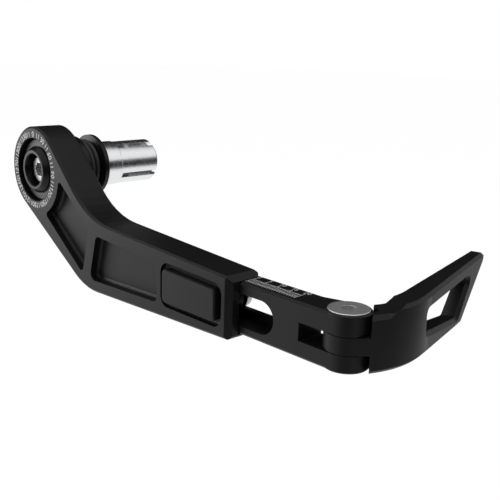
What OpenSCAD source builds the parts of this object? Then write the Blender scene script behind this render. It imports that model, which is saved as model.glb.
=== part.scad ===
/* [Bar-end plug] */
// Diameter of the plug that goes into the open end of the handlebar
plug_d = 18; // [14:0.5:19]
// Length of the plug inside the handlebar
plug_len = 26.8; // [25:0.1:40]
// Length of the slots in the plug, from its inner end
slot_len = 18; // [12:0.5:21]
// Width of each slot in the plug
slot_w = 2.4; // [1:0.1:3]
// Number of slots round the plug
slot_count = 4; // [2:1:6]
// Turn of the slots round the plug, in degrees
slot_turn = 31; // [0:1:89]
// Bore of the plug round the wedge nut
plug_bore_d = 12.8; // [11.5:0.1:13.4]
// Length of the plug's solid pilot, which fits the handlebar's bore
pilot_len = 8; // [6:0.1:8.5]
// Amount by which the slotted part is smaller in radius than the pilot, until the bolt spreads it
relief = 0.3; // [0.2:0.05:0.5]
// Bevel at the inner end of the plug
plug_bevel = 1; // [0.4:0.1:1.5]
// Length of the wedge nut
nut_len = 11; // [8:0.5:14]

/* [Bar-end stack] */
// Diameter of the end flange that seats on the handlebar
flange_d = 24.4; // [22:0.1:28]
// Thickness of the end flange
flange_t = 3.3; // [2.5:0.1:5]
// Diameter of the spacer collar against the arm
collar_d = 24; // [20:0.1:26]
// Length of the wide part of the spacer collar
collar_len = 6.6; // [5:0.1:10]
// Diameter of the collar's neck under the seal rings
neck_d = 17.2; // [16:0.1:19]
// Length of the collar's neck
neck_len = 4.3; // [4:0.1:6]
// Thickness of a seal ring's cord
seal_cord = 1.9; // [1.2:0.1:2]
// Diameter of the bolt's thread
bolt_d = 6; // [5:1:6]
// Diameter of the bolt's head
bolt_head_d = 10; // [9:0.1:11]
// Height of the bolt's head
bolt_head_h = 6; // [4:0.1:7]
// Depth of the bolt's head below the rim of the boss
bolt_sink = 2.7; // [1:0.1:4]

/* [Pivot boss] */
// Outer diameter of the boss's tube, which is the pivot of the arm
boss_d = 16.2; // [15.8:0.1:17]
// Diameter of the boss's flange in the recess
boss_flange_d = 18.2; // [17.8:0.1:19]
// Diameter of the boss's rim at the front
boss_rim_d = 15; // [14.2:0.1:15.4]
// Bore of the boss round the bolt's head
boss_bore_d = 12.4; // [12.2:0.1:12.8]
// Height of the boss's rim above the front of the arm
boss_proud = 0.5; // [0.2:0.1:1.5]
// Diameter of the slip washer in the recess
slip_d = 23.6; // [21:0.1:24]
// Thickness of the slip washer
slip_t = 1; // [0.5:0.1:1.4]

/* [Main arm] */
// Thickness of the arm's plate
arm_t = 13; // [12:0.1:16]
// Radius of the ring round the pivot
ring_r = 16.7; // [15.5:0.1:19]
// Diameter of the recess in the ring's front
recess_d = 24.6; // [24.2:0.1:26]
// Depth of the recess in the ring's front
recess_depth = 3; // [2.5:0.1:4]
// Distance from the pivot to the arm's front end
arm_reach = 112.8; // [112:0.1:118]
// Distance of the upper elbow ahead of the pivot
elbow_x = 37; // [34:0.1:40]
// Drop of the upper elbow below the pivot
elbow_drop = 12.9; // [11:0.1:15]
// Drop of the lower elbow below the pivot
heel_drop = 39.9; // [38:0.1:42]
// Drop of the arm's upper corner at its end
end_top_drop = 17.1; // [16:0.1:17.4]
// Drop of the arm's lower corner at its end
end_bottom_drop = 37; // [36.8:0.1:39]
// Radius of the inner curve above the elbow
elbow_r = 34; // [25:1:38]
// Radius of the outer curve below the elbow
heel_r = 24; // [15:1:28]
// Bevel along the arm's edges
arm_bevel = 0.8; // [0.3:0.1:1]
// Bevel round the arm's open end
mouth_bevel = 1.8; // [1:0.1:2.2]
// Depth of the two lightening pockets
pocket_depth = 3.2; // [2:0.1:3.4]
// Radius at the foot of the pocket walls
pocket_foot_r = 1.1; // [0.4:0.1:1.2]
// Depth of the groove round the clamp pad
moat_depth = 2; // [1:0.1:3]
// Width of the groove round the clamp pad
moat_w = 1.9; // [1:0.1:2.5]
// Height of the clamp pad above the arm's front
pad_proud = 1.2; // [0.4:0.1:1.5]

/* [Extension bar] */
// Height of the extension bar
bar_h = 16.7; // [16:0.1:17]
// Thickness of the extension bar
bar_t = 9.9; // [9.4:0.1:10.3]
// Drop of the extension bar's centreline below the pivot
bar_drop = 27.45; // [27.2:0.05:27.6]
// Thickness of the arm's front wall in front of the bar
front_wall = 4.3; // [4.2:0.1:4.8]
// Bevel along the bar's long edges
bar_bevel = 0.85; // [0.3:0.05:1.1]
// Distance from the pivot to the bar's rear end
bar_rear = 78.4; // [77.5:0.1:79]
// Distance the bar can be pushed into the arm
slide_travel = 20; // [10:1:20]
// Width of the wide slot in the bar's front
guide_w = 10.4; // [9.6:0.1:11]
// Width of the narrow slot for the clamp screws
screw_slot_w = 5.6; // [5.3:0.1:6]
// Thickness of the web that the clamp screws hold
web_t = 2; // [1.5:0.1:3]
// Distance from the pivot to the front end of the wide slot
guide_front = 127.4; // [127.4:0.1:129]
// Drop of the slot's centreline below the bar's centreline
slot_low = 0.35; // [0:0.05:0.6]
// Running gap between the bar and the arm
slide_gap = 0.1; // [0.05:0.01:0.2]

/* [Clamp screws] */
// Diameter of a clamp screw's thread
clamp_d = 5; // [4:0.5:5]
// Diameter of a clamp screw's head
clamp_head_d = 8.5; // [7.5:0.1:9]
// Height of a clamp screw's head
clamp_head_h = 2.8; // [2:0.1:4]
// Distance between the two clamp screws
clamp_pitch = 11.5; // [10.2:0.1:12]
// Thickness of a clamp washer
clamp_washer_t = 0.8; // [0.5:0.1:1.2]

/* [Tip hinge] */
// Distance from the pivot to the hinge axis
hinge_x = 149.5; // [148:0.1:152]
// Radius of the round knuckle, whose front is flush with the bar's front
knuckle_r = 6.7; // [6.5:0.1:7]
// Bevel round the knuckle's two ends
knuckle_bevel = 0.4; // [0.1:0.05:0.45]
// Height of the gap for the tip's tongue
fork_gap = 5.6; // [5:0.1:6.5]
// Distance from the pivot to the root of the fork
fork_root = 137.3; // [136.5:0.1:138]
// Diameter of the hinge screw's thread
hinge_d = 6; // [5:0.5:6]
// Diameter of the hinge screw's countersunk head
hinge_head_d = 12; // [11:0.1:12.2]
// Outer diameter of the hinge bush
bush_d = 9; // [8:0.1:10]
// Thickness of a hinge washer
shim_t = 0.25; // [0.15:0.01:0.3]

/* [Tip] */
// Angle of the tip's root to the arm, in degrees
root_turn = 31; // [29:1:33]
// Gap between the knuckle and the tip's hollow shoulder
shoulder_gap = 0.4; // [0.3:0.05:0.8]
// Distance of the shoulder's front corner ahead of the knuckle
shoulder_lead = 0.3; // [0.1:0.05:0.6]
// Distance by which the shoulder's back corner reaches back round the knuckle
shoulder_wrap = 0.9; // [0.5:0.1:1.2]
// Half width of the tip's shoulder towards the front
shoulder_front = 4.8; // [4.6:0.1:5]
// Half width of the tip's shoulder towards the back
shoulder_back = 5.8; // [5.6:0.1:6.2]
// Radius of the tip's curved front
bend_r = 32.3; // [30:0.1:36]
// Turn of the tip's front from its root to its blade, in degrees
bend_turn = 41; // [38:1:44]
// Length of the flat blade along its upper edge
blade_len = 64; // [60:0.5:66]
// Thickness of the blade where it leaves the bend
blade_t_root = 7.2; // [6.5:0.1:8]
// Thickness of the blade at its far end
blade_t_end = 4.2; // [3.5:0.1:5]
// Rise of the blade's upper edge above the bar's top
blade_rise = 1.7; // [1:0.1:2]
// Drop of the blade's lower edge below the bar's underside at its far end
blade_fall = 1.5; // [0:0.1:2.5]
// Bevel along the blade's front edges
blade_bevel = 1; // [0.4:0.1:1.2]
// Slope of the blade's far end, in degrees
end_slope = 36; // [33:1:39]
// Width of the bevel round the window's front
window_bevel = 1.2; // [0.4:0.1:1.5]
// Radius of the level top of the tip's root round the hinge
root_top_r = 12.3; // [11.5:0.1:13]
// Length of the ramp from the root's top up to the blade's top
ramp_len = 3.3; // [2:0.1:5]
// Diameter of the lock screw in the tip's root
lock_d = 2.4; // [2:0.1:2.6]
// Length of the lock screw
lock_len = 3.5; // [2:0.1:4]
// Angle of the lock screw to the arm, in degrees
lock_turn = 45; // [40:1:50]
// Gap between the knuckle and the lock screw's end
lock_gap = 1.3; // [0.8:0.1:1.6]

/* [Hidden] */
$fn = 64;

// Colours of the finishes
BLACK = [0.06, 0.06, 0.065];
SILVER = [0.80, 0.81, 0.82];
STEEL = [0.62, 0.62, 0.63];
BRONZE = [0.55, 0.42, 0.24];
RUBBER = [0.03, 0.03, 0.03];
NYLON = [0.75, 0.74, 0.70];

// Small clearances and a cutter's overrun
fit = 0.05;
over = 1;

// The pivot axis is Y. The handlebar's end face is at y = 0 and the arm lies outboard, at negative y
stack_len = flange_t + neck_len + collar_len;
arm_back = -stack_len;
arm_front = arm_back - arm_t;
recess_floor = arm_front + recess_depth;
boss_front = arm_front - boss_proud;
head_front = boss_front + bolt_sink;
head_back = head_front + bolt_head_h;
bolt_washer_t = 1.2;
boss_floor = head_back + bolt_washer_t;
clear_hole_r = bolt_d / 2 + 0.3;
spigot_len = 1.5;
spigot_r = 7;
foot_sink = 0.3;
solid_plug = plug_len - slot_len;
nut_start = plug_len - nut_len - 1.2;
nut_small_r = plug_bore_d / 2 - 0.7;
nut_large_r = plug_bore_d / 2 + 0.5;

// Heights along the extension bar
bar_mid = -bar_drop;
bar_top = bar_mid + bar_h / 2;
bar_bottom = bar_mid - bar_h / 2;
slot_mid = bar_mid - slot_low;
bar_front = arm_front + front_wall + fit;
bar_back = bar_front + bar_t;
web_front = bar_back - web_t;
channel_r = 3;
channel_rear = bar_rear - slide_travel - channel_r;
guide_rear = guide_front - slide_travel - 23.8;
rib_half = guide_w / 2 - slide_gap;
rib_rear = guide_rear + fit;
rib_front = guide_front - slide_travel - 0.6;
clamp_front_x = rib_front - rib_half - 0.3;
clamp_rear_x = clamp_front_x - clamp_pitch;
clamp_seat = bar_back + clamp_washer_t;
thread_end = arm_front + 1.6;

// The hinge, and the frame of the tip round it
hinge = [hinge_x, bar_front + knuckle_r];
fork_top = slot_mid + fork_gap / 2;
fork_bottom = slot_mid - fork_gap / 2;
tongue_top = fork_top - shim_t - fit;
tongue_bottom = fork_bottom + shim_t + fit;
root_dir = [cos(root_turn), sin(root_turn)];
root_side = [-sin(root_turn), cos(root_turn)];
shoulder = knuckle_r + shoulder_lead;
shoulder_front_pt = hinge + shoulder * root_dir - shoulder_front * root_side;
shoulder_back_pt = hinge + (shoulder - shoulder_wrap) * root_dir + shoulder_back * root_side;
tip_top = bar_top + blade_rise;
lock_z = bar_top - lock_d / 2 - 0.55;
lock_start = knuckle_r + lock_gap;

// Headings along the tip's front, from its root to its blade
blade_heading = root_turn + 33.4 + bend_turn;
root_heading = blade_heading - bend_turn;
bend_centre = shoulder_front_pt + bend_r * [-sin(root_heading), cos(root_heading)];
blade_start = bend_centre + bend_r * [sin(blade_heading), -cos(blade_heading)];
blade_dir = [cos(blade_heading), sin(blade_heading)];
blade_in = [-sin(blade_heading), cos(blade_heading)];

function unit(v) = v / norm(v);

// Points of an arc about c, from angle a to angle b
function arc(c, r, a, b, n) = [for (k = [0:n]) c + r * [cos(a + (b - a) * k / n), sin(a + (b - a) * k / n)]];

// Steps for a rounded corner: one for every seven degrees or so
function steps(turn) = max(2, ceil(turn / 7));

// One corner of an outline, rounded to the radius in its third value
function corner(p, q, s) =
    let (
        u = unit([p.x - q.x, p.y - q.y]),
        v = unit([s.x - q.x, s.y - q.y]),
        half = acos(u * v) / 2,
        t = q.z / tan(half),
        c = [q.x, q.y] + unit(u + v) * q.z / sin(half),
        from = [q.x, q.y] + u * t - c,
        to = [q.x, q.y] + v * t - c,
        a = atan2(from.y, from.x),
        turn = atan2(from.x * to.y - from.y * to.x, from * to)
    )
    q.z == 0 ? [[q.x, q.y]] : arc(c, q.z, a, a + turn, steps(abs(turn)));

// An outline with its corners rounded
function rounded(pts) =
    let (n = len(pts)) [for (i = [0:n - 1]) each corner(pts[(i + n - 1) % n], pts[i], pts[(i + 1) % n])];

// A counter-clockwise outline moved inwards by d
function inset(pts, d) =
    let (n = len(pts))
    [for (i = [0:n - 1])
        let (
            e = unit(pts[i] - pts[(i + n - 1) % n]),
            f = unit(pts[(i + 1) % n] - pts[i]),
            a = [-e.y, e.x],
            b = [-f.y, f.x]
        )
        pts[i] + d * (a + b) / (1 + a * b)];

// Triangles that fill an outline between its points a and b, always across the shorter diagonal
function fill(pts, a, b) =
    b - a < 2 ? []
    : norm(pts[a + 1] - pts[b]) <= norm(pts[a] - pts[b - 1])
        ? concat([[a, a + 1, b]], fill(pts, a + 1, b))
        : concat([[a, b - 1, b]], fill(pts, a, b - 1));

// Faces of a stack of m rings with n points each, closed at both ends by the cap's triangles
function ring_faces(m, n, cap) = concat(
    [for (t = cap) [t[2], t[1], t[0]]],
    [for (j = [0:m - 2], i = [0:n - 1], t = [0, 1])
        let (a = j * n + i, b = j * n + (i + 1) % n, c = b + n, d = a + n) t == 0 ? [a, b, c] : [a, c, d]],
    [for (t = cap) [t[0] + (m - 1) * n, t[1] + (m - 1) * n, t[2] + (m - 1) * n]]);

// A plate that follows an outline in x and z, through levels of [y, inset]
module plate(outline, levels) {
    pts = [for (l = levels, p = inset(outline, l[1])) [p.x, l[0], p.y]];
    n = len(outline);
    polyhedron(pts, ring_faces(len(levels), n, fill(outline, 0, n - 1)), convexity = 6);
}

// The space of a pocket, from in front of the face down to a floor with a round foot
module pocket_space(outline, face, depth, foot) {
    curve = [for (a = [0:30:90]) [face + depth - foot + foot * sin(a), foot * (1 - cos(a))]];
    plate(outline, concat([[face - over - pad_proud, 0]], curve));
}

// A shape turned round the pivot axis, from a profile of [radius, y]
module turned(profile) {
    rotate([-90, 0, 0]) rotate_extrude($fn = 96) polygon(profile);
}

// A cylinder along the pivot's direction, from y0 to y1
module bar_y(r, y0, y1, x = 0, z = 0) {
    translate([x, y0, z]) rotate([-90, 0, 0]) cylinder(r = r, h = y1 - y0);
}

// A hexagonal socket
module hex_socket(across, depth) {
    cylinder(d = across / cos(30), h = depth, $fn = 6);
}

// A slot with round ends in x, cut along y
module slot_space(w, x0, x1, y0, y1) {
    bar_y(w / 2, y0, y1, x0 + w / 2, slot_mid);
    bar_y(w / 2, y0, y1, x1 - w / 2, slot_mid);
    translate([x0 + w / 2, y0, slot_mid - w / 2]) cube([x1 - x0 - w, y1 - y0, w]);
}

// Outline of the arm: the ring, the heel, the open end and the elbow
elbow = [elbow_x, -elbow_drop];
heel = [elbow_x - 3.1, -heel_drop];
ring_start = atan2(elbow.y, elbow.x) + acos(ring_r / norm(elbow));
ring_end = 360 + atan2(heel.y, heel.x) - acos(ring_r / norm(heel));
arm_outline = rounded(concat(
    [for (p = arc([0, 0], ring_r, ring_start, ring_end, 28)) [p.x, p.y, 0]],
    [
        [heel.x, heel.y, heel_r],
        [arm_reach, -end_bottom_drop, 1.2],
        [arm_reach, -end_top_drop, 1.2],
        [elbow.x, elbow.y, elbow_r]
    ]));

// The three pockets in the arm's front
neck_arc_r = ring_r + 0.9;
neck_pocket = rounded(concat(
    [[37.8, -16.7, 2], [17.9, -1.5, 1.3]],
    [for (p = arc([0, 0], neck_arc_r, -14, -58, 6)) [p.x, p.y, 0]],
    [[7.2, -16.1, 1.3], [32.9, -34.2, 1.6]]));
mid_pocket = rounded([[42.2, -18.2, 2.2], [37.6, -35.4, 2.6], [77.9, -33.9, 2.2], [77.9, -20.3, 2.2]]);
pad_moat = rounded([[79.9, -19.0, 3.6], [79.9, -34.2, 3.6], [109.5, -34.2, 3.6], [109.5, -20.1, 3.6]]);

module expander_sleeve() {
    r = plug_d / 2;
    color(SILVER) difference() {
        turned([
            [clear_hole_r, -spigot_len], [spigot_r, -spigot_len], [spigot_r, -foot_sink],
            [r - relief, -foot_sink], [r - relief, 0], [r, 0], [r, pilot_len], [r - relief, pilot_len + relief],
            [r - relief, plug_len - plug_bevel], [r - relief - plug_bevel, plug_len],
            [plug_bore_d / 2 + 0.8, plug_len], [plug_bore_d / 2, plug_len - 4],
            [plug_bore_d / 2, solid_plug - 2], [clear_hole_r, solid_plug - 4.5]
        ]);
        for (k = [0:slot_count - 1])
            rotate([0, slot_turn + k * 360 / slot_count, 0])
                translate([clear_hole_r, solid_plug, -slot_w / 2]) cube([plug_d, slot_len + over, slot_w]);
    }
}

module wedge_nut() {
    color(STEEL) turned([
        [bolt_d / 2 + fit, nut_start], [nut_small_r, nut_start], [plug_bore_d / 2 - fit, nut_start + 1.5],
        [plug_bore_d / 2 - fit, plug_len - 4.2], [nut_large_r, nut_start + nut_len],
        [bolt_d / 2 + fit, nut_start + nut_len]
    ]);
}

module bar_end_bolt() {
    end = nut_start + nut_len + 0.8;
    color(STEEL) difference() {
        turned([
            [0, head_front], [bolt_head_d / 2 - 0.4, head_front], [bolt_head_d / 2, head_front + 0.4],
            [bolt_head_d / 2, head_back], [bolt_d / 2, head_back], [bolt_d / 2, end - 0.6],
            [bolt_d / 2 - 0.6, end], [0, end]
        ]);
        translate([0, head_front - over, 0]) rotate([-90, 0, 0]) hex_socket(5, over + 3);
    }
}

module bolt_washer() {
    color(STEEL) turned([
        [bolt_d / 2 + 0.2, head_back], [boss_bore_d / 2 - 0.15, head_back],
        [boss_bore_d / 2 - 0.15, boss_floor], [bolt_d / 2 + 0.2, boss_floor]
    ]);
}

module pivot_boss() {
    flange_under = recess_floor - slip_t;
    color(BLACK) turned([
        [boss_bore_d / 2, boss_front + 0.4], [boss_bore_d / 2 + 0.3, boss_front], [boss_rim_d / 2, boss_front],
        [boss_flange_d / 2, boss_front + 1.9], [boss_flange_d / 2, flange_under], [boss_d / 2, flange_under],
        [boss_d / 2, arm_back - fit], [clear_hole_r, arm_back - fit], [clear_hole_r, boss_floor],
        [boss_bore_d / 2, boss_floor]
    ]);
}

module slip_washer() {
    y0 = recess_floor - slip_t;
    color(NYLON) turned([
        [boss_d / 2 + fit, y0], [slip_d / 2 - 0.3, y0], [slip_d / 2, y0 + 0.3],
        [slip_d / 2, recess_floor], [boss_d / 2 + fit, recess_floor]
    ]);
}

module spacer_collar() {
    r = collar_d / 2;
    shoulder_y = arm_back + collar_len;
    color(BLACK) turned([
        [clear_hole_r, arm_back], [r - 0.5, arm_back], [r, arm_back + 0.5],
        [r, shoulder_y - 1.2], [r - 1.6, shoulder_y], [neck_d / 2, shoulder_y],
        [neck_d / 2, -flange_t], [clear_hole_r, -flange_t]
    ]);
}

module seal_rings() {
    room = neck_len / 2;
    color(RUBBER) for (k = [0, 1])
        translate([0, -flange_t - neck_len + room * (k + 0.5), 0]) rotate([-90, 0, 0])
            rotate_extrude($fn = 96) translate([neck_d / 2 + seal_cord / 2, 0]) circle(d = seal_cord, $fn = 24);
}

module end_flange() {
    r = flange_d / 2;
    color(BLACK) turned([
        [clear_hole_r, -flange_t], [neck_d / 2 + 0.6, -flange_t], [r, -flange_t + 1.1], [r, -0.6],
        [r - 0.6, 0], [plug_d / 2 + fit, 0], [plug_d / 2 + fit, -foot_sink], [spigot_r + fit, -foot_sink],
        [spigot_r + fit, -spigot_len - fit], [clear_hole_r, -spigot_len - fit]
    ]);
}

// The channel that the extension bar slides in, open at the arm's back and end
module channel_space() {
    g = slide_gap;
    r = channel_r;
    translate([channel_rear + r, arm_front + front_wall, bar_bottom - g])
        cube([arm_reach, arm_t, bar_h + 2 * g]);
    translate([channel_rear, arm_front + front_wall, bar_bottom - g + r])
        cube([r + over, arm_t, bar_h + 2 * (g - r)]);
    for (z = [bar_bottom - g + r, bar_top + g - r])
        bar_y(r, arm_front + front_wall, arm_back + over, channel_rear + r, z);
}

// The wedges that bevel the front, top and bottom edges of the arm's open end
module mouth_bevels() {
    x0 = arm_reach - mouth_bevel - over;
    x1 = arm_reach + over;
    y0 = arm_front - over;
    top = over - end_top_drop;
    low = -end_bottom_drop - over;
    translate([0, 0, low - 5]) linear_extrude(40) polygon([[x0, y0], [x1, y0], [x1, y0 + x1 - x0]]);
    rotate([90, 0, 0]) translate([0, 0, -arm_back - over]) linear_extrude(arm_t + 2 * over)
        polygon([[x0, top], [x1, top - (x1 - x0)], [x1, top]]);
    rotate([90, 0, 0]) translate([0, 0, -arm_back - over]) linear_extrude(arm_t + 2 * over)
        polygon([[x0 + over, low], [x1, low], [x1, low + x1 - x0 - over]]);
}

module main_arm() {
    b = arm_bevel;
    pad = inset(pad_moat, moat_w);
    color(BLACK) difference() {
        union() {
            difference() {
                plate(arm_outline, [[arm_front, b], [arm_front + b, 0], [arm_back - b, 0], [arm_back, b]]);
                pocket_space(neck_pocket, arm_front, pocket_depth, pocket_foot_r);
                pocket_space(mid_pocket, arm_front, pocket_depth, pocket_foot_r);
                pocket_space(pad_moat, arm_front, moat_depth, pocket_foot_r);
                channel_space();
                mouth_bevels();
            }
            plate(pad, [[arm_front - pad_proud, 0.4], [arm_front - pad_proud + 0.4, 0],
                [arm_front + moat_depth + 0.5, 0]]);
            slot_rib();
        }
        bar_y(boss_d / 2 + fit, arm_front - over, arm_back + over);
        bar_y(recess_d / 2, arm_front - over, recess_floor);
        for (x = [clamp_rear_x, clamp_front_x])
            bar_y(clamp_d / 2 + 0.02, thread_end, arm_back + over, x, slot_mid);
    }
}

// The rib that guides the bar and carries the clamp screws' threads
module slot_rib() {
    y0 = arm_front + front_wall - 0.5;
    y1 = web_front - 0.3;
    r = rib_half;
    bar_y(r, y0, y1, rib_rear + r, slot_mid);
    bar_y(r, y0, y1, rib_front - r, slot_mid);
    translate([rib_rear + r, y0, slot_mid - r]) cube([rib_front - rib_rear - 2 * r, y1 - y0, 2 * r]);
}

module extension_bar() {
    b = bar_bevel;
    tilt = acos(knuckle_r / norm([hinge.x - 137, hinge.y - bar_back]));
    ray = atan2(bar_back - hinge.y, 137 - hinge.x);
    touch = hinge + knuckle_r * [cos(ray - tilt), sin(ray - tilt)];
    color(BLACK) difference() {
        union() {
            rotate([90, 0, 90]) translate([0, 0, bar_rear]) linear_extrude(hinge.x - bar_rear)
                polygon([
                    [bar_front + b, bar_bottom], [bar_back - b, bar_bottom], [bar_back, bar_bottom + b],
                    [bar_back, bar_top - b], [bar_back - b, bar_top], [bar_front + b, bar_top],
                    [bar_front, bar_top - b], [bar_front, bar_bottom + b]
                ]);
            translate([hinge.x, hinge.y, 0]) rotate_extrude($fn = 96) polygon([
                [0, bar_bottom], [knuckle_r - knuckle_bevel, bar_bottom], [knuckle_r, bar_bottom + knuckle_bevel],
                [knuckle_r, bar_top - knuckle_bevel], [knuckle_r - knuckle_bevel, bar_top], [0, bar_top]
            ]);
            translate([0, 0, bar_bottom + knuckle_bevel]) linear_extrude(bar_h - 2 * knuckle_bevel)
                polygon([[137, bar_back - 2], [137, bar_back], touch, hinge]);
        }
        slot_space(guide_w, guide_rear, guide_front, bar_front - over, web_front);
        slot_space(screw_slot_w, guide_rear + (guide_w - screw_slot_w) / 2,
            guide_front - (guide_w - screw_slot_w) / 2, web_front - over, bar_back + over);
        translate([fork_root, bar_front - 10, fork_bottom]) cube([40, 30, fork_gap]);
        translate([hinge.x, hinge.y, bar_bottom - over]) cylinder(r = hinge_d / 2 + 0.02, h = bar_h + 2 * over);
        translate([hinge.x, hinge.y, bar_top - hinge_head_d / 2 - 0.3])
            cylinder(r1 = 0, r2 = hinge_head_d / 2 + 0.02, h = hinge_head_d / 2 + 0.02);
        translate([hinge.x, hinge.y, bar_top - 0.3]) cylinder(r = hinge_head_d / 2 + 0.02, h = over);
    }
}

module clamp_screws() {
    r = clamp_head_d / 2;
    color(STEEL) for (x = [clamp_rear_x, clamp_front_x])
        translate([x, 0, slot_mid]) difference() {
            turned([
                [0, thread_end + 0.6], [clamp_d / 2, thread_end + 0.6], [clamp_d / 2, clamp_seat],
                [r, clamp_seat], [r, clamp_seat + clamp_head_h - 0.8],
                [r - 0.8, clamp_seat + clamp_head_h], [0, clamp_seat + clamp_head_h]
            ]);
            translate([0, clamp_seat + 1, 0]) rotate([-90, 0, 0]) hex_socket(3, clamp_head_h);
        }
}

module clamp_washers() {
    color(STEEL) for (x = [clamp_rear_x, clamp_front_x])
        translate([x, 0, slot_mid]) turned([
            [clamp_d / 2 + 0.15, bar_back + fit], [clamp_head_d / 2 + 0.7, bar_back + fit],
            [clamp_head_d / 2 + 0.7, clamp_seat], [clamp_d / 2 + 0.15, clamp_seat]
        ]);
}

// Front and back points of the tip's sections: the curved root, then the straight blade
root_steps = 8;
blade_back_start = blade_start + blade_t_root * blade_in;
root_knee = shoulder_back_pt + [2.6, 5.4];
function root_front(f) = bend_centre + bend_r * [sin(root_heading + f * bend_turn), -cos(root_heading + f * bend_turn)];
function root_back(f) = (1 - f) * (1 - f) * shoulder_back_pt + 2 * f * (1 - f) * root_knee + f * f * blade_back_start;
blade_t_slope = (blade_t_end - blade_t_root) / blade_len;
function blade_front(s) = blade_start + s * blade_dir;
function blade_back(s) = blade_front(s) + (blade_t_root + s * blade_t_slope) * blade_in;

// One section of the tip between a front and a back point, with both front edges bevelled
function section(f, k, drop, top_bevel) =
    let (n = unit(k - f), top = tip_top, low = bar_bottom - drop, b = blade_bevel, c = top_bevel)
    [
        [f.x, f.y, low + b], [f.x, f.y, top - c], [f.x + n.x * c, f.y + n.y * c, top],
        [k.x, k.y, top], [k.x, k.y, low], [f.x + n.x * b, f.y + n.y * b, low]
    ];

// The tip's solid through all its sections, longer than the finished blade
module tip_blank() {
    far = blade_len + 12;
    rows = concat(
        [for (j = [0:root_steps - 1])
            let (f = j / root_steps)
            section(root_front(f), root_back(f), 0, f < 0.3 ? blade_rise + 1.3 : blade_bevel)],
        [for (s = [0, blade_len / 2, far])
            section(blade_front(s), blade_back(s), blade_fall * min(1, 1.6 * s / blade_len), blade_bevel)]);
    polyhedron([for (r = rows) each r], ring_faces(len(rows), 6, [for (i = [1:4]) [0, i, i + 1]]),
        convexity = 6);
}

// A frame with x along the blade, y into it from its front and z up
module on_blade() {
    translate([blade_start.x, blade_start.y, 0]) rotate([0, 0, blade_heading]) children();
}

// The side outline that trims the blade's far end, in the blade's own frame
function blade_side() =
    let (
        top = tip_top,
        low = bar_bottom - blade_fall,
        corner_x = blade_len,
        foot_x = blade_len - (top - low) / tan(end_slope)
    )
    rounded([
        [-40, top + 5, 0], [-40, low - 20, 0], [foot_x - 18, low - 20, 0], [foot_x - 12, low - 0.9, 0],
        [foot_x, low - 0.1, 8], [corner_x, top + 0.2, 2.4], [corner_x - 14, top + 2.4, 0],
        [corner_x - 14, top + 5, 0]
    ]);

// The window's outline at the blade's front face
window_lead = 0.9;
window_outline = rounded([
    [window_lead, tip_top - 3.9, 2.4], [window_lead + 0.5, tip_top - 13, 2.4],
    [blade_len - 29.4, bar_bottom + 0.55, 3.2], [blade_len - 14.6, tip_top - 3.8, 2.6]
]);

// The tongue between the fork's arms, flush with the tip's front
module tongue() {
    reach = norm(shoulder_front_pt - hinge);
    ray = atan2(shoulder_front_pt.y - hinge.y, shoulder_front_pt.x - hinge.x);
    touch = hinge + knuckle_r * [cos(ray - acos(knuckle_r / reach)), sin(ray - acos(knuckle_r / reach))];
    back_touch = hinge + knuckle_r * root_side;
    translate([0, 0, tongue_bottom]) {
        translate([hinge.x, hinge.y, 0]) cylinder(r = knuckle_r, h = tongue_top - tongue_bottom);
        linear_extrude(tongue_top - tongue_bottom)
            polygon([hinge, touch, shoulder_front_pt, root_front(0.25), back_touch + 11 * root_dir, back_touch]);
    }
}

module guard_tip() {
    tongue_h = tongue_top - tongue_bottom;
    w = window_bevel;
    color(BLACK) difference() {
        union() {
            difference() {
                intersection() {
                    tip_blank();
                    on_blade() plate(blade_side(), [[-60, 0], [80, 0]]);
                }
                translate([hinge.x, hinge.y, bar_bottom - over]) cylinder(r = knuckle_r + shoulder_gap, h = bar_h + 10);
            }
            tongue();
        }
        on_blade() plate(window_outline, [[-1, -1], [w, w], [20, w]]);
        translate([hinge.x, hinge.y, bar_top])
            cylinder(r1 = root_top_r, r2 = root_top_r + ramp_len * 3, h = blade_rise * 3, $fn = 96);
        translate([hinge.x, hinge.y, tongue_bottom - over]) cylinder(d = bush_d + 0.04, h = tongue_h + 2 * over);
        along_lock(knuckle_r) {
            rotate([0, 90, 0]) cylinder(d = lock_d + 0.04, h = lock_gap + lock_len + 0.1);
            translate([0, -lock_d / 2 - 0.02, 0]) cube([lock_gap, lock_d + 0.04, lock_d + over]);
        }
    }
}

module hinge_screw() {
    r = hinge_head_d / 2;
    shank = hinge_d / 2;
    end = bar_bottom + 0.7;
    color(SILVER) difference() {
        translate([hinge.x, hinge.y, 0]) rotate_extrude($fn = 96) polygon([
            [0, end], [shank - 0.5, end], [shank, end + 0.5], [shank, bar_top - 0.3 - (r - shank)],
            [r, bar_top - 0.3], [r, bar_top + 0.1], [r - 0.15, bar_top + 0.25], [0, bar_top + 0.25]
        ]);
        translate([hinge.x, hinge.y, bar_top - 2.6]) hex_socket(4, 5);
    }
}

module hinge_bush() {
    color(BRONZE) translate([hinge.x, hinge.y, tongue_bottom]) difference() {
        cylinder(d = bush_d, h = tongue_top - tongue_bottom);
        translate([0, 0, -over]) cylinder(r = hinge_d / 2 + fit, h = tongue_top - tongue_bottom + 2 * over);
    }
}

module hinge_washers() {
    color(NYLON) for (z = [tongue_top + fit / 2, tongue_bottom - fit / 2 - shim_t])
        translate([hinge.x, hinge.y, z]) difference() {
            cylinder(r = knuckle_r - 0.4, h = shim_t);
            translate([0, 0, -over]) cylinder(r = hinge_d / 2 + 0.1, h = shim_t + 2 * over);
        }
}

// A frame on the lock screw's axis at distance d from the hinge, with x away from the hinge
module along_lock(d) {
    translate([hinge.x, hinge.y, lock_z]) rotate([0, 0, lock_turn]) translate([d, 0, 0]) children();
}

module lock_screw() {
    color(STEEL) along_lock(lock_start) rotate([0, 90, 0]) difference() {
        cylinder(d = lock_d, h = lock_len);
        translate([0, 0, -over]) hex_socket(1.3, over + 1);
    }
}

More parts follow.
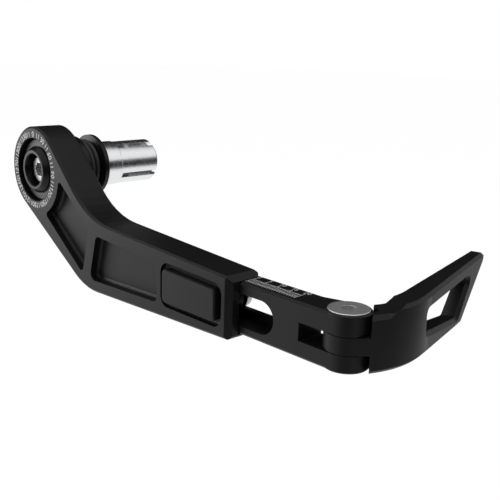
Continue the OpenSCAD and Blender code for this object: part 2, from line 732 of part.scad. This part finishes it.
expander_sleeve();
wedge_nut();
bar_end_bolt();
bolt_washer();
pivot_boss();
slip_washer();
spacer_collar();
seal_rings();
end_flange();
main_arm();
extension_bar();
clamp_screws();
clamp_washers();
guard_tip();
hinge_screw();
hinge_bush();
hinge_washers();
lock_screw();
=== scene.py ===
# %% [markdown]
# A lever guard is a short machined bar that stands in front of a motorcycle's lever.
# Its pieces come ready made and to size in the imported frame.
# This script gives every piece its finish, adds the white filled marks that an engraver
# would cut, and lights the whole as a small studio does.
# Loading comes first, because everything else is placed from the frame's own sizes.

# %% Load the frame
import math

import bpy
import numpy as np
from mathutils import Matrix, Vector


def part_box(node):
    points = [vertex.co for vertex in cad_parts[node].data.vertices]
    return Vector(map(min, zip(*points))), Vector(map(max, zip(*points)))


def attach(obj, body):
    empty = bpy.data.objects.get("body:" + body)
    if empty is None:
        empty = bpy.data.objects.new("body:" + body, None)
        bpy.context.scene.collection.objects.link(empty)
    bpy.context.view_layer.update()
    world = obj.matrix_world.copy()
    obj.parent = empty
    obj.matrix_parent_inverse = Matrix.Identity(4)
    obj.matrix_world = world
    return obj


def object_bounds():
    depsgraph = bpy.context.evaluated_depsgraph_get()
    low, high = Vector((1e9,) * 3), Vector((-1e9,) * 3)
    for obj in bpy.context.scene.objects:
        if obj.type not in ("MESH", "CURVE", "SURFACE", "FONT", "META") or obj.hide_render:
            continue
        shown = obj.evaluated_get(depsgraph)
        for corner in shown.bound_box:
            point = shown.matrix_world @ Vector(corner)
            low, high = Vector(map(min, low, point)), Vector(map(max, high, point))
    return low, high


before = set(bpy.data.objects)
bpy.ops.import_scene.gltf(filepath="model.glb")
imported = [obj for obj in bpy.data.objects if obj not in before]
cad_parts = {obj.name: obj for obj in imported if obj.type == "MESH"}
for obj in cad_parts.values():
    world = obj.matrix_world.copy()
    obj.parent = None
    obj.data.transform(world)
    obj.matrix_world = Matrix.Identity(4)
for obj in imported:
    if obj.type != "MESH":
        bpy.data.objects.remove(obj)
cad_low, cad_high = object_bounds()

MM = 0.001
print("frame size in mm:", [round(v / MM, 1) for v in cad_high - cad_low])

# %% [markdown]
# The camera stands where a photographer would, to the right of the guard and a little above it.
# Its long lens keeps the far plug and the near tip in proportion.
# It could be aimed with a constraint, but a written rotation is easier to check:
# the three columns of the matrix are the camera's right, its up and the way it looks back.

# %% Camera
CAMERA_PLACE = Vector((277.56, -180.14, 50.65)) * MM
CAMERA_TURN = math.radians(45.618)
CAMERA_TILT = math.radians(14.691)
CAMERA_ROLL = math.radians(1.841)
FOCAL_LENGTH = 57.11
SENSOR = 36.0
NEAREST = 0.01
FARTHEST = 20.0


def camera_axes(turn, tilt, roll):
    """Right, up and back, for a look along +Y turned by turn, tipped down by tilt and rolled."""
    level_ahead = Vector((-math.sin(turn), math.cos(turn), 0))
    ahead = level_ahead * math.cos(tilt) - Vector((0, 0, math.sin(tilt)))
    level = ahead.cross(Vector((0, 0, 1))).normalized()
    below = ahead.cross(level)
    right = level * math.cos(roll) - below * math.sin(roll)
    up = -(level * math.sin(roll) + below * math.cos(roll))
    return right, up, -ahead


lens = bpy.data.cameras.new("studio_camera")
lens.lens = FOCAL_LENGTH
lens.sensor_width = SENSOR
camera = bpy.data.objects.new("studio_camera", lens)
camera_right, camera_up, camera_back = camera_axes(CAMERA_TURN, CAMERA_TILT, CAMERA_ROLL)
camera.matrix_world = Matrix((camera_right, camera_up, camera_back)).transposed().to_4x4()
camera.location = CAMERA_PLACE
lens.clip_start = NEAREST
lens.clip_end = FARTHEST
bpy.context.scene.collection.objects.link(camera)
bpy.context.scene.camera = camera
print("camera", round(camera.location.length / MM), "mm from the frame's origin")

# %% [markdown]
# Shader sums read best as formulas.
# A small class wraps one output of a node, and its operators add the Math nodes.
# A second class holds the material, and one method of it makes any other node.


# %% Formulas from sockets
class Socket:
    """One output of a node, usable in sums with numbers and other outputs."""

    def __init__(self, finish, output):
        self.finish = finish
        self.output = output

    def math(self, operation, *others):
        values = dict(enumerate((self,) + others))
        return self.finish.node("ShaderNodeMath", {"operation": operation}, values)

    def __add__(self, other):
        return self.math("ADD", other)

    def __radd__(self, other):
        return self.math("ADD", other)

    def __sub__(self, other):
        return self.math("SUBTRACT", other)

    def __rsub__(self, other):
        return (self * -1.0) + other

    def __mul__(self, other):
        return self.math("MULTIPLY", other)

    def __rmul__(self, other):
        return self.math("MULTIPLY", other)

    def __gt__(self, other):
        return self.math("GREATER_THAN", other)


BEVEL_SAMPLES = 6


class Finish:
    """The shader of a material, or of the world, built node by node."""

    def __init__(self, owner):
        self.owner = owner
        owner.use_nodes = True
        self.tree = owner.node_tree
        self.tree.nodes.clear()

    def node(self, kind, settings, sockets, take=0):
        """Adds a node, with its settings first and then its sockets' values or links.

        It gives the output that take names or counts.
        """
        made = self.tree.nodes.new(kind)
        for key, value in settings.items():
            setattr(made, key, value)
        for key, value in sockets.items():
            if isinstance(value, Socket):
                self.tree.links.new(value.output, made.inputs[key])
            else:
                made.inputs[key].default_value = value
        return Socket(self, made.outputs[take]) if len(made.outputs) else None

    def point(self):
        """The point on the piece, in metres in the frame."""
        return self.node("ShaderNodeTexCoord", {}, {}, "Object")

    def place(self):
        """The same point as three outputs x, y and z."""
        point = self.point()
        return [self.node("ShaderNodeSeparateXYZ", {}, {0: point}, k) for k in range(3)]

    def noise(self, grain, detail=2.0):
        """Noise from 0 to 1 with lumps of about the given size in metres."""
        sockets = {"Vector": self.point(), "Scale": 1.0 / grain, "Detail": detail}
        return self.node("ShaderNodeTexNoise", {}, sockets)

    def stripes(self, along, pitch):
        """Uneven lines, a noise that changes only with the value along."""
        sockets = {"W": along * (1.0 / pitch), "Scale": 1.0, "Detail": 3.0}
        return self.node("ShaderNodeTexNoise", {"noise_dimensions": "1D"}, sockets)

    def blend(self, factor, first, second):
        """The colour between first and second."""
        sockets = {0: factor, 6: first, 7: second}
        return self.node("ShaderNodeMix", {"data_type": "RGBA"}, sockets, 2)

    def relief(self, height, depth, edge_radius, smooth=None):
        """A normal with rounded edges and a relief whose full height stands for depth in metres.

        smooth may be a function that changes the rounded normal before the relief goes on.
        """
        edge = self.node("ShaderNodeBevel", {"samples": BEVEL_SAMPLES}, {"Radius": edge_radius})
        if smooth is not None:
            edge = smooth(self, edge)
        sockets = {"Strength": 1.0, "Distance": depth, "Height": height, "Normal": edge}
        return self.node("ShaderNodeBump", {}, sockets)

    def straight_rays(self):
        """One for rays from the camera, from mirrors and through glass, and zero for the rest."""
        kinds = ("Is Camera Ray", "Is Glossy Ray", "Is Transmission Ray")
        camera_ray, mirror_ray, glass_ray = (
            self.node("ShaderNodeLightPath", {}, {}, kind) for kind in kinds
        )
        return camera_ray.math("MAXIMUM", mirror_ray).math("MAXIMUM", glass_ray)

    def close(self, **sockets):
        """Ends the material in one Principled shader. Underscores in the names are spaces."""
        named = {key.replace("_", " "): value for key, value in sockets.items()}
        surface = self.node("ShaderNodeBsdfPrincipled", {}, named)
        self.node("ShaderNodeOutputMaterial", {}, {"Surface": surface})
        return self.owner


def new_finish(name):
    """An empty finish on a new material."""
    return Finish(bpy.data.materials.new(name))


def grey(level):
    """An opaque neutral colour."""
    return (level, level, level, 1.0)


def distance(across, along):
    """How far a point lies from an axis: the root of its two offsets squared and added."""
    return (across * across + along * along).math("SQRT")


print("mid grey is", grey(0.5))

# %% [markdown]
# The guard's bodies are milled from aluminium, blasted with fine beads and anodised black.
# Beads leave a skin of dents about a tenth of a millimetre across, too small to model,
# so they are relief in the shader. The dye takes a little unevenly, which is a slow cloud of tone.
# The milled edges are broken by hand, and a rounded normal gives them their thin light line.

# %% Black anodised and blasted
BEAD = 0.14 * MM
BEAD_SHARE = 0.5
BLAST_DEPTH = 0.006 * MM
BROKEN_EDGE = 0.22 * MM
DYE_CLOUD = 26 * MM
DYE_LIGHT = 0.0075
DYE_DARK = 0.0045
DYE_GLOSS = 0.24
BLAST_ROUGHNESS = 0.40
CLOUD_ROUGHNESS = 0.07
BEAD_ROUGHNESS = 0.05
print("dye", DYE_DARK, "to", DYE_LIGHT, "over dents of", BEAD / MM, "mm")


def blasted_black(name, extra_height=None, smooth=None):
    """Satin black over bead blasting.

    extra_height is a function that gives one more relief, and smooth is the one that relief takes.
    """
    finish = new_finish(name)
    beads = finish.noise(BEAD)
    cloud = finish.noise(DYE_CLOUD, detail=3.0)
    colour = finish.blend(cloud, grey(DYE_DARK), grey(DYE_LIGHT))
    height = beads * BEAD_SHARE
    if extra_height is not None:
        height = height + extra_height(finish)
    return finish.close(
        Base_Color=colour,
        Roughness=BLAST_ROUGHNESS + CLOUD_ROUGHNESS * cloud + BEAD_ROUGHNESS * beads,
        Metallic=0.0,
        Specular_IOR_Level=DYE_GLOSS,
        Normal=finish.relief(height, BLAST_DEPTH, BROKEN_EDGE, smooth),
    )


# %% [markdown]
# The tip's front is one round bend, but the frame's mesh has it as flat strips.
# Smooth shading would round the true edges too, so the shader works the normal out instead:
# on the bend it points straight away from the bend's centre.
# It is used only where a strip already faces nearly that way, so all edges keep their own.
# The centre and the radius are those that the part was drawn with.

# %% Round front of the tip
BEND_CENTRE = Vector((128.84, -2.70, 0)) * MM
BEND_RADIUS = 32.3 * MM
BEND_SLACK = 0.25 * MM
BEND_AGREES = 0.985
print("bend of", BEND_RADIUS / MM, "mm round", [round(v / MM, 2) for v in BEND_CENTRE])


def round_front(finish, edge):
    """The unit vector from the bend's centre, where its product with the normal is near one."""
    x, y, _ = finish.place()
    across = x - BEND_CENTRE.x
    along = y - BEND_CENTRE.y
    off_bend = (distance(across, along) - BEND_RADIUS).math("ABSOLUTE")
    away = finish.node("ShaderNodeCombineXYZ", {}, {0: across, 1: along})
    to_world = {"vector_type": "VECTOR", "convert_from": "OBJECT", "convert_to": "WORLD"}
    turned = finish.node("ShaderNodeVectorTransform", to_world, {0: away})
    unit = finish.node("ShaderNodeVectorMath", {"operation": "NORMALIZE"}, {0: turned})
    pair = {0: unit, 1: edge}
    agree = finish.node("ShaderNodeVectorMath", {"operation": "DOT_PRODUCT"}, pair, "Value")
    on_bend = (agree > BEND_AGREES) * off_bend.math("LESS_THAN", BEND_SLACK)
    choice = {0: on_bend, 4: edge, 5: unit}
    return finish.node("ShaderNodeMix", {"data_type": "VECTOR"}, choice, 1)


# %% [markdown]
# The arm's open end was faced last, with a small cutter that left level lines across it.
# Grooves this fine would cost thousands of faces, so they are relief as well.
# They lie only on the last two millimetres, so a mask on x switches them on.

# %% Cutter lines on the arm's end
arm_low, arm_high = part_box("main_arm")
END_BEVEL = 1.8 * MM
END_SLACK = 0.05 * MM
CUTTER_PITCH = 0.62 * MM
CUTTER_HEIGHT = 2.2
print("cutter lines every", CUTTER_PITCH / MM, "mm up to x", round(arm_high.x / MM, 1))


def cutter_lines(finish):
    """Height that rises and falls with z, on the arm's end alone: the sine of z over the pitch."""
    x, _, z = finish.place()
    on_end = x > (arm_high.x - END_BEVEL + END_SLACK)
    wave = (z * (2 * math.pi / CUTTER_PITCH)).math("SINE")
    return on_end * wave * CUTTER_HEIGHT


# %% [markdown]
# Collars, flanges and bosses come off a lathe. Its tool leaves rings that follow the turning axis,
# so their relief changes along the axis and with the distance from it, never around it.
# A stretched noise map would need unwrapped pieces. A sum of the two lengths needs nothing.

# %% Turned finishes
BLACK_PITCH = 0.16 * MM
BLACK_DEPTH = 0.004 * MM
BLACK_EDGE = 0.16 * MM
BLACK_CLOUD = 9 * MM
BLACK_ROUGHNESS = 0.28
BLACK_RING_ROUGHNESS = 0.1
METAL_PITCH = 0.2 * MM
METAL_DEPTH = 0.0035 * MM
METAL_EDGE = 0.12 * MM
METAL_SMEAR = 4 * MM
METAL_RING_ROUGHNESS = 0.06
METAL_SMEAR_ROUGHNESS = 0.08
TROUGH_TONE = 0.86
print("turning rings every", BLACK_PITCH / MM, "mm on black and", METAL_PITCH / MM, "on metal")


def turning_lines(finish, pitch):
    """Fine uneven rings round the pivot: a noise of y plus the distance from the axis."""
    x, y, z = finish.place()
    return finish.stripes(y + distance(x, z), pitch)


def turned_black(name):
    """Black anodised over fine turning rings."""
    finish = new_finish(name)
    rings = turning_lines(finish, BLACK_PITCH)
    cloud = finish.noise(BLACK_CLOUD)
    return finish.close(
        Base_Color=finish.blend(cloud, grey(DYE_DARK), grey(DYE_LIGHT)),
        Roughness=BLACK_ROUGHNESS + BLACK_RING_ROUGHNESS * rings,
        Metallic=0.0,
        Specular_IOR_Level=DYE_GLOSS,
        Normal=finish.relief(rings, BLACK_DEPTH, BLACK_EDGE),
    )


def turned_metal(name, tone, roughness):
    """Bare bright metal over turning rings, slightly duller in the troughs."""
    finish = new_finish(name)
    rings = turning_lines(finish, METAL_PITCH)
    smear = finish.noise(METAL_SMEAR, detail=4.0)
    trough = tuple(TROUGH_TONE * v for v in tone[:3]) + (1.0,)
    colour = finish.blend(rings, tone, trough)
    return finish.close(
        Base_Color=colour,
        Roughness=roughness + METAL_RING_ROUGHNESS * rings + METAL_SMEAR_ROUGHNESS * smear,
        Metallic=1.0,
        Normal=finish.relief(rings, METAL_DEPTH, METAL_EDGE),
    )


# %% [markdown]
# The hinge screw's head was turned round its own axis, which stands upright at the hinge.
# The same idea works there with the distance from that other axis.

# %% Faced screw head
hinge_low, hinge_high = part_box("hinge_screw")
hinge_axis = (hinge_low + hinge_high) / 2
FACING_PITCH = 0.13 * MM
FACING_DEPTH = 0.004 * MM
FACING_EDGE = 0.15 * MM
FACING_LIGHT = 0.70
FACING_DARK = 0.52
FACING_ROUGHNESS = 0.40
FACING_RING_ROUGHNESS = 0.14
print("hinge axis at x, y", [round(v / MM, 2) for v in hinge_axis[:2]])


def faced_screw(name):
    """Bright steel with rings round the hinge axis."""
    finish = new_finish(name)
    x, y, _ = finish.place()
    rings = finish.stripes(distance(x - hinge_axis.x, y - hinge_axis.y), FACING_PITCH)
    colour = finish.blend(rings, grey(FACING_LIGHT), grey(FACING_DARK))
    return finish.close(
        Base_Color=colour,
        Roughness=FACING_ROUGHNESS + FACING_RING_ROUGHNESS * rings,
        Metallic=1.0,
        Normal=finish.relief(rings, FACING_DEPTH, FACING_EDGE),
    )


# %% [markdown]
# Rubber seals and moulded washers are soft looking: no clear reflection, and a faint mottle.
# One function serves both, since only the two tones and the roughness differ.

# %% Rubber and plastic
MOTTLE = 1.2 * MM
MOTTLE_DEPTH = 0.01 * MM
MOULDED_EDGE = 0.1 * MM
MOTTLE_ROUGHNESS = 0.1
print("mottle of", MOTTLE / MM, "mm")


def moulded(name, dark, light, roughness):
    """A matt moulded skin between two tones."""
    finish = new_finish(name)
    mottle = finish.noise(MOTTLE, detail=4.0)
    return finish.close(
        Base_Color=finish.blend(mottle, dark, light),
        Roughness=roughness + MOTTLE_ROUGHNESS * mottle,
        Metallic=0.0,
        Normal=finish.relief(mottle, MOTTLE_DEPTH, MOULDED_EDGE),
    )


# %% [markdown]
# Each node of the frame gets its finish by name, and whatever it wore before is cleared first.
# Pieces of one stock share one material, as they would share a batch.

# %% Put the finishes on the frame's pieces
SILVER = (0.86, 0.87, 0.88, 1.0)
ZINC = (0.50, 0.50, 0.51, 1.0)
STAINLESS = (0.46, 0.46, 0.47, 1.0)
BRONZE = (0.60, 0.42, 0.21, 1.0)

turned_black_finish = turned_black("black_turned")
stainless_finish = turned_metal("stainless_screws", STAINLESS, 0.28)
seal_finish = moulded("seal_rubber", grey(0.008), grey(0.016), 0.55)
acetal_finish = moulded("black_acetal", grey(0.014), grey(0.024), 0.38)
finishes = {
    "main_arm": blasted_black("black_arm", cutter_lines),
    "extension_bar": blasted_black("black_bar"),
    "guard_tip": blasted_black("black_tip", smooth=round_front),
    "pivot_boss": turned_black_finish,
    "spacer_collar": turned_black_finish,
    "end_flange": turned_black_finish,
    "expander_sleeve": turned_metal("silver_sleeve", SILVER, 0.2),
    "wedge_nut": stainless_finish,
    "bar_end_bolt": turned_metal("zinc_bolt", ZINC, 0.24),
    "bolt_washer": stainless_finish,
    "clamp_screws": stainless_finish,
    "clamp_washers": stainless_finish,
    "lock_screw": stainless_finish,
    "hinge_screw": faced_screw("faced_hinge_screw"),
    "hinge_bush": turned_metal("oiled_bronze", BRONZE, 0.35),
    "slip_washer": acetal_finish,
    "hinge_washers": acetal_finish,
    "seal_rings": seal_finish,
}
for node, finish in finishes.items():
    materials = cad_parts[node].data.materials
    materials.clear()
    materials.append(finish)
print(len(finishes), "finishes on", len(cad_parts), "nodes")

# %% [markdown]
# The marks are cut with an engraver and filled with white paint.
# A stroke is a ribbon along a line. At each point the ribbon's two edges lie half a width away
# along the mitre, so that a bend keeps the stroke's width. The digits are drawn the way a
# pantograph draws them, as a few straight strokes on a grid two units wide and four high.


# %% Strokes
def ribbon(points, width):
    """Left and right edges of a stroke: each point plus and minus half the width times its mitre.

    The mitre is the sum of the two neighbouring normals over one plus their product.
    """
    points = np.asarray(points, float)
    step = np.diff(points, axis=0)
    step /= np.linalg.norm(step, axis=1)[:, None]
    side = np.stack([-step[:, 1], step[:, 0]], axis=1)
    before = np.vstack([side[:1], side])
    after = np.vstack([side, side[-1:]])
    mitre = (before + after) / (1 + np.sum(before * after, axis=1))[:, None]
    return points + mitre * width / 2, points - mitre * width / 2


DIGITS = {
    "0": [(0, 1), (0, 3), (1, 4), (2, 3), (2, 1), (1, 0), (0, 1)],
    "1": [(0.3, 3.2), (1.2, 4), (1.2, 0)],
    "2": [(0, 3), (1, 4), (2, 3), (0, 0), (2, 0)],
    "3": [(0, 3.4), (1, 4), (2, 3), (1, 2.1), (2, 1), (1, 0), (0, 0.6)],
    "4": [(1.5, 0), (1.5, 4), (0, 1.3), (2, 1.3)],
    "5": [(2, 4), (0.2, 4), (0, 2.2), (1.2, 2.5), (2, 1.4), (1.2, 0), (0, 0.4)],
    "6": [(1.7, 4), (0.2, 2), (0, 1), (1, 0), (2, 1), (1, 2.1), (0.1, 1.5)],
    "7": [(0, 4), (2, 4), (0.8, 0)],
    "8": [(1, 2.1), (0.1, 3.1), (1, 4), (1.9, 3.1), (1, 2.1), (0, 1), (1, 0), (2, 1), (1, 2.1)],
    "9": [(0.3, 0), (1.8, 2), (2, 3), (1, 4), (0, 3), (1, 1.9), (1.9, 2.5)],
}


def number_strokes(text, height, centre, base):
    """The strokes of a number, centred on a place along the line and standing on the base."""
    unit = height / 4
    pitch = 3.0 * unit
    start = centre - (pitch * (len(text) - 1) + 2 * unit) / 2
    return [
        np.array(DIGITS[digit]) * unit + (start + k * pitch, base)
        for k, digit in enumerate(text)
    ]


# %% [markdown]
# A filled stroke has to stand a hair above the metal, or the two surfaces would fight.
# Each one is a closed sliver: the ribbon's two edges, once just above the surface and once
# just below it. All slivers of one set of marks go into one mesh.

# %% Filled marks
PAINT_RISE = 0.015 * MM
PAINT_DEPTH = 0.03 * MM
PAINT_GRAIN = 0.3 * MM
PAINT_LIGHT = 0.90
PAINT_DARK = 0.80
PAINT_ROUGHNESS = 0.5
PAINT_GRAIN_ROUGHNESS = 0.15


def sliver(points, width, place):
    """Vertices and faces of one stroke as a closed tube with four edges along its length."""
    left, right = ribbon(points, width)
    above = [place(left, PAINT_RISE), place(right, PAINT_RISE)]
    below = [place(right, -PAINT_DEPTH), place(left, -PAINT_DEPTH)]
    rows = above + below
    vertices = np.stack(rows, axis=1).reshape(-1, 3)
    start = 4 * np.arange(len(points) - 1)[:, None, None]
    edge = np.arange(4)[None, :, None]
    turn = (np.arange(4)[None, :, None] + 1) % 4
    corners = [start + edge, start + turn, start + turn + 4, start + edge + 4]
    walls = np.concatenate(corners, axis=2)
    last = 4 * (len(points) - 1)
    ends = np.array([[3, 2, 1, 0], [last, last + 1, last + 2, last + 3]])
    return vertices, np.vstack([walls.reshape(-1, 4), ends])


def outward(vertices, faces):
    """The faces, turned over if the solid's signed volume is negative."""
    a, b, c, d = (vertices[faces[:, k]] for k in range(4))
    volume = np.sum(a * np.cross(b, c)) + np.sum(a * np.cross(c, d))
    return faces if volume > 0 else faces[:, ::-1]


def marks(name, strokes, width, place):
    """One mesh of all the strokes."""
    vertices, faces, count = [], [], 0
    for points in strokes:
        some, around = sliver(points, width, place)
        around = outward(some - some.mean(axis=0), around)
        vertices.append(some)
        faces.append(around + count)
        count += len(some)
    mesh = bpy.data.meshes.new(name)
    mesh.from_pydata(np.vstack(vertices).tolist(), [], np.vstack(faces).tolist())
    mesh.update()
    piece = bpy.data.objects.new(name, mesh)
    bpy.context.scene.collection.objects.link(piece)
    piece.data.materials.append(paint)
    print(name, len(strokes), "strokes,", len(mesh.polygons), "faces")
    return piece


paint_finish = new_finish("white_fill")
paint_mottle = paint_finish.noise(PAINT_GRAIN, detail=3.0)
paint = paint_finish.close(
    Base_Color=paint_finish.blend(paint_mottle, grey(PAINT_DARK), grey(PAINT_LIGHT)),
    Roughness=PAINT_ROUGHNESS + PAINT_GRAIN_ROUGHNESS * paint_mottle,
)

# %% [markdown]
# The bar carries a millimetre scale on its top, read at the arm's end as the bar slides in.
# Short lines stand at each millimetre, longer ones at every fifth, with their number beyond.
# Two rails run along the whole scale and tie the lines together.
# A painted picture would blur at this size. Strokes made by a loop stay sharp, and the scale
# rides on the bar's body, so it slides in with it.

# %% Scale on the bar
bar_low, bar_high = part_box("extension_bar")
bar_top = bar_high.z
SCALE_GAP = 0.5 * MM
SCALE_INSET = 1.85 * MM
SCALE_START = arm_high.x + SCALE_GAP
SCALE_FOOT = bar_low.y + SCALE_INSET
SCALE_PITCH = 1.0 * MM
SHORT_LINE = 3.4 * MM
LONG_LINE = 4.9 * MM
SCALE_RAILS = (1.0 * MM, 3.4 * MM)
SCALE_NUMBER = 1.6 * MM
SCALE_NUMBER_GAP = 0.4 * MM
SCALE_STROKE = 0.24 * MM
SCALE_SPAN = 20
SCALE_FIFTH = 5


def on_bar_top(points, rise):
    """Points (distance from the arm, distance inwards) on the bar's top face."""
    flat = np.zeros((len(points), 3))
    flat[:, 0] = SCALE_START + points[:, 0]
    flat[:, 1] = SCALE_FOOT + points[:, 1]
    flat[:, 2] = bar_top + rise
    return flat


scale_strokes = [
    [(k * SCALE_PITCH, 0), (k * SCALE_PITCH, SHORT_LINE if k % SCALE_FIFTH else LONG_LINE)]
    for k in range(SCALE_SPAN + 1)
]
number_foot = LONG_LINE + SCALE_NUMBER_GAP
for k in range(0, SCALE_SPAN + 1, SCALE_FIFTH):
    scale_strokes += number_strokes(str(k), SCALE_NUMBER, k * SCALE_PITCH, number_foot)
scale_strokes += [[(0, rail), (SCALE_SPAN * SCALE_PITCH, rail)] for rail in SCALE_RAILS]
bar_scale = marks("bar_scale", scale_strokes, SCALE_STROKE, on_bar_top)
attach(bar_scale, "extension")
print("scale from x", round(SCALE_START / MM, 2), "on the line y", round(SCALE_FOOT / MM, 2))

# %% [markdown]
# Round the pivot the ring carries an angle scale, so that the arm can be set again after it
# has been moved. The strokes could be turned one by one, but then every digit would need its
# own turn. Here they are worked out on a straight strip, which is then wrapped round the pivot.

# %% Angle scale on the ring
RING_SET_BACK = 1.2 * MM
RING_FACE = arm_low.y + RING_SET_BACK
DIAL_BASE = 12.85 * MM
DIAL_NUMBER = 1.9 * MM
DIAL_STROKE = 0.36 * MM
DIAL_STEP = 30
TICK_STEP = 6


def on_ring(points, rise):
    """A strip wrapped clockwise round the pivot: its length over the base radius is the angle."""
    radius = DIAL_BASE + points[:, 1]
    angle = points[:, 0] / DIAL_BASE
    wrapped = np.zeros((len(points), 3))
    wrapped[:, 0] = radius * np.sin(angle)
    wrapped[:, 1] = RING_FACE - rise
    wrapped[:, 2] = radius * np.cos(angle)
    return wrapped


def along_dial(degrees):
    """Length on the strip for an angle."""
    return math.radians(degrees) * DIAL_BASE


dial_strokes = []
for degrees in range(0, 360, TICK_STEP):
    along = along_dial(degrees)
    to_number = min(degrees % DIAL_STEP, -degrees % DIAL_STEP)
    if to_number == 0:
        dial_strokes += number_strokes(str(degrees), DIAL_NUMBER, along, 0)
    elif to_number > TICK_STEP:
        dial_strokes.append([(along, 0), (along, DIAL_NUMBER)])
ring_dial = marks("ring_dial", dial_strokes, DIAL_STROKE, on_ring)
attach(ring_dial, "arm")

# %% [markdown]
# A small studio: a pale floor far enough below that the guard's shadow on it is soft,
# three square lamps and four dark cards. One lamp stands to the left, one far behind to the
# right, and the third hangs above. A single sun would be simpler, but black metal is shaped by
# what it mirrors, and it needs broad lights to mirror.

# %% Lamps
guard_centre = (cad_low + cad_high) / 2
LAMPS = {
    "left_lamp": ((-0.85, -0.55, 0.15), 0.6, 3.6),
    "right_lamp": ((0.35, 0.95, 0.05), 0.5, 0.35),
    "top_lamp": ((0.0, -0.1, 1.0), 0.4, 1.7),
}


def lamp(name, offset, side, power):
    """A square lamp that stands at an offset from the guard's centre and faces it."""
    light = bpy.data.lights.new(name, "AREA")
    light.shape = "SQUARE"
    light.size = side
    light.energy = power
    piece = bpy.data.objects.new(name, light)
    place = guard_centre + Vector(offset)
    aim = guard_centre - place
    piece.matrix_world = aim.to_track_quat("-Z", "Y").to_matrix().to_4x4()
    piece.location = place
    bpy.context.scene.collection.objects.link(piece)


for name, (offset, side, power) in LAMPS.items():
    lamp(name, offset, side, power)
print(len(LAMPS), "lamps of", sum(power for _, _, power in LAMPS.values()), "W in all")

# %% [markdown]
# The floor is pale paper. Lit by the lamps alone it would turn grey, and stronger lamps would
# bleach the guard. So the camera and the mirrored rays see it mostly as plain white, and a
# smaller share of it as paper, which keeps the shadow.

# %% Floor
FLOOR_PAPER = 0.86
FLOOR_WHITE = 1.12
FLOOR_SHARE = 0.85
FLOOR_DROP = 0.16
FLOOR_REACH = 6.0


def sheet_of(name, corners, material):
    """A flat four-cornered sheet for the studio."""
    mesh = bpy.data.meshes.new(name)
    mesh.from_pydata([tuple(c) for c in corners], [], [(0, 1, 2, 3)])
    mesh.update()
    piece = bpy.data.objects.new(name, mesh)
    bpy.context.scene.collection.objects.link(piece)
    piece.data.materials.append(material)
    return piece


def floor_material():
    """Paper mixed with a plain white glow, for the rays that look straight at it."""
    finish = new_finish("pale_floor")
    paper = finish.node("ShaderNodeBsdfDiffuse", {}, {"Color": grey(FLOOR_PAPER)})
    glow = finish.node("ShaderNodeEmission", {}, {"Color": grey(1.0), "Strength": FLOOR_WHITE})
    sockets = {0: finish.straight_rays() * FLOOR_SHARE, 1: paper, 2: glow}
    mixed = finish.node("ShaderNodeMixShader", {}, sockets)
    finish.node("ShaderNodeOutputMaterial", {}, {"Surface": mixed})
    return finish.owner


floor_z = cad_low.z - FLOOR_DROP
floor_sides = [(-1, -1), (1, -1), (1, 1), (-1, 1)]
floor_corners = [(FLOOR_REACH * x, FLOOR_REACH * y, floor_z) for x, y in floor_sides]
sheet_of("floor", floor_corners, floor_material())
print("floor", round(-floor_z / MM), "mm below the frame's origin")

# %% [markdown]
# The cards are black felt, behind the guard, below the camera and to the right. Without them
# the white floor and backdrop would be mirrored in the guard, and its black would turn grey.
# They are hidden from every other kind of ray, so they cast no shadow and stay out of view.

# %% Cards
CARD_FELT = 0.01
CARDS = {
    "card_behind": ((-0.42, 0.36, 0.30), 1.5, 1.0),
    "card_below_camera": ((0.26, -0.34, -0.05), 0.46, 0.5),
    "card_right": ((0.42, 0.10, -0.05), 0.40, 0.5),
    "card_far_right": ((0.34, 0.38, -0.10), 0.55, 0.55),
}


def card_material():
    """Black felt."""
    finish = new_finish("dark_card")
    felt = finish.node("ShaderNodeBsdfDiffuse", {}, {"Color": grey(CARD_FELT)})
    finish.node("ShaderNodeOutputMaterial", {}, {"Surface": felt})
    return finish.owner


def card(name, offset, width, height, material):
    """A dark card that faces the guard from the given offset. Only mirrored rays meet it."""
    place = guard_centre + Vector(offset)
    back = (place - guard_centre).normalized()
    right = Vector((0, 0, 1)).cross(back).normalized() * width / 2
    up = back.cross(right).normalized() * height / 2
    corners = [place - right - up, place + right - up, place + right + up, place - right + up]
    piece = sheet_of(name, corners, material)
    piece.visible_camera = False
    piece.visible_diffuse = False
    piece.visible_shadow = False
    piece.visible_transmission = False


felt = card_material()
for name, (offset, width, height) in CARDS.items():
    card(name, offset, width, height, felt)
print(len(CARDS), "dark cards")

# %% [markdown]
# The world is white for the camera and for mirrored rays, and only a soft grey for the rest,
# so that the background is clean and the lamps still shape the guard.

# %% World and colour
WORLD_LEVEL = 0.3
world = bpy.data.worlds.new("studio")
bpy.context.scene.world = world
sky = Finish(world)
sky_strength = WORLD_LEVEL + (1.0 - WORLD_LEVEL) * sky.straight_rays()
sky_sockets = {"Color": grey(1.0), "Strength": sky_strength}
sky_light = sky.node("ShaderNodeBackground", {}, sky_sockets)
sky.node("ShaderNodeOutputWorld", {}, {"Surface": sky_light})
bpy.context.scene.view_settings.view_transform = "Standard"
print("world at", WORLD_LEVEL, "for the rays that light the guard")
